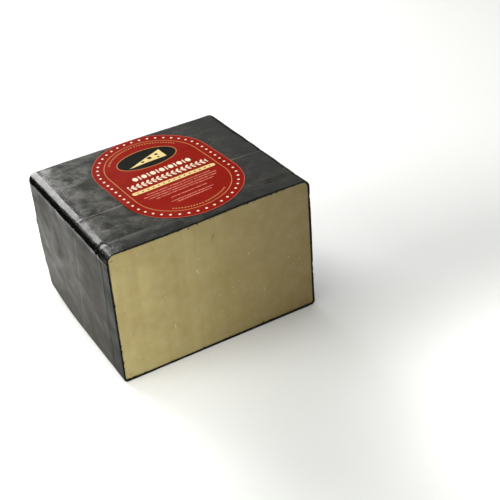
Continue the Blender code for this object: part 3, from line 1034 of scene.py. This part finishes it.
def white_studio_paper():
    """Matt white background paper, rolled out: the eye gets an even pale ground with no gloss."""
    material, tree, shader = new_material("white background paper")
    place = add_node(tree, "TexCoord", output="Object")
    cloud = add_node(tree, "TexNoise", {"Vector": place, "Scale": 3.0, "Detail": 2.0})
    colour = painted_over(tree, linear("#f3f4f1"), ((cloud, linear("#f0f1ed")),))
    set_inputs(tree, shader, {"Base Color": colour, "Roughness": 0.9, "Specular IOR Level": 0.2})
    return material


def black_card_paint():
    """Matt black paint on card: the eye gets only its dark reflection in the wax."""
    material, tree, shader = new_material("matt black card")
    set_inputs(tree, shader, {"Base Color": linear("#050505"), "Roughness": 1.0, "Specular IOR Level": 0.0})
    return material


class CHEDDAR_OT_wax_coat(Operator):
    """Models the wax: a skin over five sides, a wobbling rim where it was cut, and the hollow inside it"""

    bl_idname = "cheddar.wax_coat"
    bl_label = "Wax coat"

    def execute(self, context):
        shape = Shape(context.scene)
        finish = context.scene.cheddar_finish
        coat = self.open_box(shape)
        self.add_wall(coat, shape)
        self.lay_on_block(coat, shape)
        finish_piece(coat, (black_dipped_wax(finish), cut_wax_rim(finish)), "wax_coat", angle=40)
        for face in coat.data.polygons:
            face.material_index = 1 if face.index in self.rim_faces else 0
        return {"FINISHED"}

    def open_box(self, shape):
        """The plain box without its cut side, divided into even cells."""
        coat = add_box("wax_skin", *shape.corners(0.0))
        bpy.ops.object.mode_set(mode="EDIT")
        select_in_edit(coat, "FACE", lambda face: on_cut(face, shape))
        bpy.ops.mesh.delete(type="FACE")
        for axis, cells in enumerate(COAT_CELLS):
            divide_along(coat, axis, cells)
        return coat

    def add_wall(self, coat, shape):
        """Extrudes the open edge inwards over the rim, back as a lip, and then on to line the hollow."""
        select_in_edit(coat, "EDGE", lambda edge: edge.is_boundary)
        done = shape.corners(0.0)
        for share in RIM_STEPS:
            rim = shape.corners(shape.wax * share)
            extrude_to(*rim, *done)
            done = rim
        extrude_to(*done, *done, back=LIP_THICKNESS)
        bend = shape.top_radius - shape.wax
        extrude_to(*done, *done, back=done[1].y - done[0].y - bend - LIP_THICKNESS)
        for _ in range(HOLLOW_BENDS):
            extrude_to(*done, *done, back=bend / HOLLOW_BENDS)
        for step in range(HOLLOW_BENDS):
            inner = shape.corners(shape.wax + bend * (step + 1) / HOLLOW_BENDS)
            extrude_to(*inner, *done)
            done = inner
        bpy.ops.mesh.edge_face_add()
        bpy.ops.object.mode_set(mode="OBJECT")
        self.rim_faces = {face.index for face in coat.data.polygons if self.is_rim(coat, face, shape)}

    def is_rim(self, coat, face, shape):
        """Whether a face is part of the rim or of the lip behind it."""
        return all(coat.data.vertices[i].co.y < RIM_REACH - shape.half_depth for i in face.vertices)

    def lay_on_block(self, coat, shape):
        """Moves every point from the plain box to the real block, with the wax's relief on its outside."""
        low, high = shape.corners(0.0)
        for vert in coat.data.vertices:
            point = vert.co.copy()
            depth = min(
                point.x - low.x, high.x - point.x, point.z - low.z, high.z - point.z, high.y - point.y
            )
            if depth < ON_SURFACE:
                vert.co = self.outer_place(shape, point)
            elif point.y < RIM_REACH - shape.half_depth:
                vert.co = self.rim_place(shape, point, depth)
            else:
                vert.co = shape.settled(shape.rounded(point, shape.wax)[0])

    def outer_place(self, shape, point):
        place, away = shape.rounded(point, 0.0)
        height = shape.wax_relief(place) + shape.drip_relief(place)
        if place.y < RIM_CHIP_REACH - shape.half_depth and place.z > RIM_CHIP_REACH:
            height -= over(noise.noise(place / RIM_CHIP_LENGTH), RIM_CHIP_FROM) * RIM_CHIP_DEPTH
        return shape.settled(place + away * height)

    def rim_place(self, shape, point, depth):
        """A place on the rim, whose inner edge wobbles and is dragged over the paste here and there."""
        place, away = shape.rounded(point, depth)
        share = depth / shape.wax
        wobble = noise.noise(place / RIM_WOBBLE_LENGTH) * RIM_WOBBLE
        smear = over(noise.noise(place / SMEAR_LENGTH + Vector((7, 0, 0))), SMEAR_FROM) * SMEAR_REACH
        height = (wobble - smear) * share * share
        height += shape.wax_relief(place) * (1 - share)
        return shape.settled(place + away * height)


class CHEDDAR_OT_paste(Operator):
    """Models the paste: a block whose cut face is divided finely enough to hold its relief"""

    bl_idname = "cheddar.paste"
    bl_label = "Cheddar paste"

    def execute(self, context):
        shape = Shape(context.scene)
        inset = shape.wax + shape.gap
        paste = add_box("paste", *shape.corners(inset))
        bpy.ops.object.mode_set(mode="EDIT")
        for axis, cells in ((0, CUT_FACE_CELLS[0]), (2, CUT_FACE_CELLS[1])):
            divide_along(paste, axis, cells, lambda edge: on_cut(edge, shape))
        for axis in range(3):
            divide_along(
                paste, axis, PASTE_CELLS,
                lambda edge: not on_cut(edge, shape) and edge.calc_length() > COARSE_EDGE,
            )
        bpy.ops.object.mode_set(mode="OBJECT")
        for vert in paste.data.vertices:
            on_face = abs(vert.co.y + shape.half_depth) < SAME_PLANE
            place = shape.rounded(vert.co, inset)[0]
            if on_face:
                place.y += shape.cut_relief(place.x, place.z) + shape.fine_cut_relief(place.x, place.z)
            vert.co = shape.settled(place)
        finish_piece(paste, (aged_cheddar_paste(context.scene.cheddar_finish),), "cheese", angle=50)
        return {"FINISHED"}


class CHEDDAR_OT_label(Operator):
    """Models the label: a sheet of paper that lies on the wax and bends over the back edge"""

    bl_idname = "cheddar.label"
    bl_label = "Paper label"

    def execute(self, context):
        shape = Shape(context.scene)
        sizes = context.scene.cheddar_label
        deselect_everything()
        bpy.ops.mesh.primitive_grid_add(x_subdivisions=LABEL_CELLS[0], y_subdivisions=LABEL_CELLS[1], size=2)
        sheet = context.object
        sheet.name = "printed_label"
        sheet.data.name = sheet.name
        turn = Matrix.Rotation(sizes.turn, 2)
        centre = Vector((sizes.centre_x, sizes.centre_y))
        for vert in sheet.data.vertices:
            flat = self.in_outline(vert.co.x, vert.co.y, sizes)
            place = centre + turn @ flat
            vert.co = shape.on_top(place.x, place.y, sizes.height + self.lift(flat))
        thicken = sheet.modifiers.new("Paper", "SOLIDIFY")
        thicken.thickness = sizes.thickness
        thicken.offset = -1
        bpy.ops.object.modifier_apply(modifier=thicken.name)
        paper = printed_label_paper(context.scene.cheddar_finish, sizes)
        finish_piece(sheet, (paper,), "label", angle=50)
        return {"FINISHED"}

    def in_outline(self, across, along, sizes):
        """Where a place of the square from -1 to 1 lies in the label. Its edge becomes the label's."""
        share = max(abs(across), abs(along))
        if share < 1e-9:
            return Vector((0.0, 0.0))
        aim = Vector((across * sizes.end_radius, along * (sizes.end_radius + sizes.half_straight)))
        aim.normalize()
        reach = sizes.end_radius / max(abs(aim.x), 1e-9)
        if reach * abs(aim.y) > sizes.half_straight:
            side = math.sqrt(sizes.end_radius**2 - (sizes.half_straight * aim.x) ** 2)
            reach = sizes.half_straight * abs(aim.y) + side
        return aim * reach * share

    def lift(self, flat):
        """How far the paper stands off the wax: where its edge came away, and along its creases."""
        height = LABEL_LIFT * bell((flat - Vector(LABEL_LIFT_AT)).length, 0.0, LABEL_LIFT_REACH)
        for from_x, from_y, to_x, to_y in LABEL_CREASES:
            start, end = Vector((from_x, from_y)) * MM, Vector((to_x, to_y)) * MM
            run = end - start
            share = clamp((flat - start).dot(run) / run.length_squared, 0.0, 1.0)
            height += LABEL_CREASE_HEIGHT * bell((flat - start - run * share).length, 0.0, LABEL_CREASE_REACH)
        return height


class CHEDDAR_OT_crumbs(Operator):
    """Models the crumbs of paste and the flakes of wax that cling to the cut"""

    bl_idname = "cheddar.crumbs"
    bl_label = "Crumbs and flakes"

    def execute(self, context):
        shape = Shape(context.scene)
        finish = context.scene.cheddar_finish
        draw = random.Random(STREWN_SEED)
        strew = range(STREWN)
        paste_bits = LARGE_CRUMBS + [
            (draw.uniform(-74, 76), 2.3 + draw.random(), draw.uniform(0.35, 0.6)) for _ in strew
        ]
        wax_bits = [
            (draw.uniform(-30, 62), 107.7 + draw.uniform(-0.7, 0.4), draw.uniform(0.25, 0.55)) for _ in strew
        ]
        wax_bits += [
            (draw.uniform(-72, 76), 2.0 + draw.uniform(0, 0.7), draw.uniform(0.25, 0.5)) for _ in strew
        ]
        crumbs = self.add_bits("paste_crumbs", paste_bits, shape, draw, CRUMB_FLATNESS)
        flakes = self.add_bits("wax_flakes", wax_bits, shape, draw, FLAKE_FLATNESS)
        finish_piece(crumbs, (aged_cheddar_paste(finish),), angle=180)
        finish_piece(flakes, (cut_wax_rim(finish),), angle=180)
        return {"FINISHED"}

    def add_bits(self, name, bits, shape, draw, flatness):
        """Small uneven lumps on the cut, each at (x, z) with a radius in millimetres, joined in one piece."""
        deselect_everything()
        made = []
        for x, z, radius in bits:
            size = radius * MM
            place = Vector((x * MM, -shape.half_depth, z * MM))
            place.y += shape.cut_relief(place.x, place.z) - size * flatness * CRUMB_SINKS_IN
            bpy.ops.mesh.primitive_ico_sphere_add(subdivisions=3, radius=1)
            bit = bpy.context.object
            stretch = draw.uniform(0.7, 1.5)
            turn = Matrix.Rotation(draw.uniform(0, math.pi), 3, "Y")
            seed = Vector((draw.uniform(0, 50), 0, 0))
            for vert in bit.data.vertices:
                rough = 1 + sum(high * noise.noise(vert.co * often + seed) for high, often in CRUMB_LUMPS)
                stretched = Vector((vert.co.x * stretch, vert.co.y * flatness, vert.co.z / stretch))
                vert.co = shape.settled(place + turn @ (stretched * rough * size))
            made.append(bit)
        for bit in made:
            bit.select_set(True)
        bpy.context.view_layer.objects.active = made[0]
        bpy.ops.object.join()
        made[0].name = name
        made[0].data.name = name
        return made[0]


class CHEDDAR_OT_studio(Operator):
    """Sets up the pale floor, the soft light and the camera"""

    bl_idname = "cheddar.studio"
    bl_label = "Studio"

    def execute(self, context):
        studio = context.scene.cheddar_studio
        self.add_floor()
        self.add_camera(context, studio)
        key_place = direction(studio.key_azimuth, studio.key_elevation) * KEY_DISTANCE
        self.add_soft_box("key", studio.key_power, KEY_SIZE, key_place)
        self.add_soft_box("overhead", studio.overhead_power, OVERHEAD_SIZE, OVERHEAD_PLACE)
        self.add_soft_box("side", studio.side_power, SIDE_SIZE, SIDE_PLACE)
        self.add_soft_box("fill", studio.fill_power, FILL_SIZE, FILL_PLACE, FILL_AIM, FILL_SPREAD)
        self.add_soft_box("floor_light", studio.floor_power, FLOOR_SIZE, FLOOR_PLACE, FLOOR_AIM, FLOOR_SPREAD)
        for card in BLACK_CARDS:
            self.add_black_card(*card)
        self.add_surroundings(context)
        context.scene.view_settings.view_transform = "Standard"
        return {"FINISHED"}

    def add_floor(self):
        deselect_everything()
        bpy.ops.mesh.primitive_circle_add(
            vertices=96, radius=FLOOR_RADIUS, fill_type="NGON", location=(0, 0, 0)
        )
        floor = bpy.context.object
        floor.name = "floor"
        floor.data.materials.append(white_studio_paper())

    def add_camera(self, context, studio):
        back = direction(studio.azimuth, studio.elevation)
        camera = bpy.data.objects.new("camera", bpy.data.cameras.new("camera"))
        context.scene.collection.objects.link(camera)
        stand = Matrix.Translation(Vector(studio.aim) + back * studio.distance)
        aimed = back.to_track_quat("Z", "Y").to_matrix().to_4x4()
        camera.matrix_world = stand @ aimed @ Matrix.Rotation(studio.roll, 4, "Z")
        camera.data.lens = studio.lens
        camera.data.sensor_width = 36
        camera.data.clip_start = 0.01
        camera.data.clip_end = 50
        context.scene.camera = camera

    def add_soft_box(self, name, power, size, place, aim=LIGHT_AIM, spread=OPEN_SPREAD):
        """A rectangular soft box. A narrow spread stands for a grid on its front."""
        light = bpy.data.lights.new(name, "AREA")
        light.energy = power
        light.shape = "RECTANGLE"
        light.size, light.size_y = size
        light.spread = spread
        lamp = bpy.data.objects.new(name, light)
        bpy.context.scene.collection.objects.link(lamp)
        lamp.location = place
        lamp.rotation_euler = (place - aim).to_track_quat("Z", "Y").to_euler()

    def add_black_card(self, name, foot, along, up, shades):
        """A black card out of the camera's sight.

        Those behind the block show in reflections alone, and draw the dark lines along the wax's edges. The
        flag in front on the right shades, and takes light off the cut there.
        """
        foot, along, up = (Vector(run) for run in (foot, along, up))
        deselect_everything()
        bpy.ops.mesh.primitive_plane_add(size=1)
        card = bpy.context.object
        card.name = name
        for vert in card.data.vertices:
            vert.co = foot + vert.co.x * along + (vert.co.y + 0.5) * up
        card.data.materials.append(black_card_paint())
        card.visible_camera = False
        card.visible_diffuse = shades
        card.visible_shadow = shades
        card.visible_transmission = False
        card.visible_volume_scatter = False

    def add_surroundings(self, context):
        """A studio that is lighter behind the block than in front of it."""
        world = bpy.data.worlds.new("studio")
        context.scene.world = world
        world.use_nodes = True
        tree = world.node_tree
        way = add_node(tree, "TexCoord", output="Generated")
        behind = add_node(
            tree, "VectorMath", (way, direction(SKY_AZIMUTH, SKY_ELEVATION)), operation="DOT_PRODUCT",
            output="Value",
        )
        strength = add_node(tree, "MapRange", (behind, 0.0, 0.95, SKY_DIM, SKY_BRIGHT), **SMOOTH)
        set_inputs(tree, tree.nodes["Background"], {"Color": (1.0, 1.0, 1.0), "Strength": strength})


class CHEDDAR_PT_panel(Panel):
    """Lists the pieces in the order in which they are made"""

    bl_label = "Cheddar"
    bl_space_type = "VIEW_3D"
    bl_region_type = "UI"
    bl_category = "Cheddar"

    def draw(self, context):
        for piece in PIECE_OPERATORS:
            self.layout.operator(piece.bl_idname)
        for name in GROUPS:
            group = getattr(context.scene, name)
            box = self.layout.box()
            for value in group.__annotations__:
                box.prop(group, value)


PIECE_OPERATORS = (
    CHEDDAR_OT_paste,
    CHEDDAR_OT_wax_coat,
    CHEDDAR_OT_label,
    CHEDDAR_OT_crumbs,
    CHEDDAR_OT_studio,
)
GROUPS = {
    "cheddar_block": CheddarBlock,
    "cheddar_label": CheddarLabel,
    "cheddar_finish": CheddarFinish,
    "cheddar_studio": CheddarStudio,
}


def register():
    for made in (*GROUPS.values(), *PIECE_OPERATORS, CHEDDAR_PT_panel):
        bpy.utils.register_class(made)
    for name, group in GROUPS.items():
        setattr(bpy.types.Scene, name, PointerProperty(type=group))


def unregister():
    for name in GROUPS:
        delattr(bpy.types.Scene, name)
    for made in reversed((*GROUPS.values(), *PIECE_OPERATORS, CHEDDAR_PT_panel)):
        bpy.utils.unregister_class(made)


def main():
    register()
    for piece in PIECE_OPERATORS:
        group, name = piece.bl_idname.split(".")
        getattr(getattr(bpy.ops, group), name)()


if __name__ == "__main__":
    main()
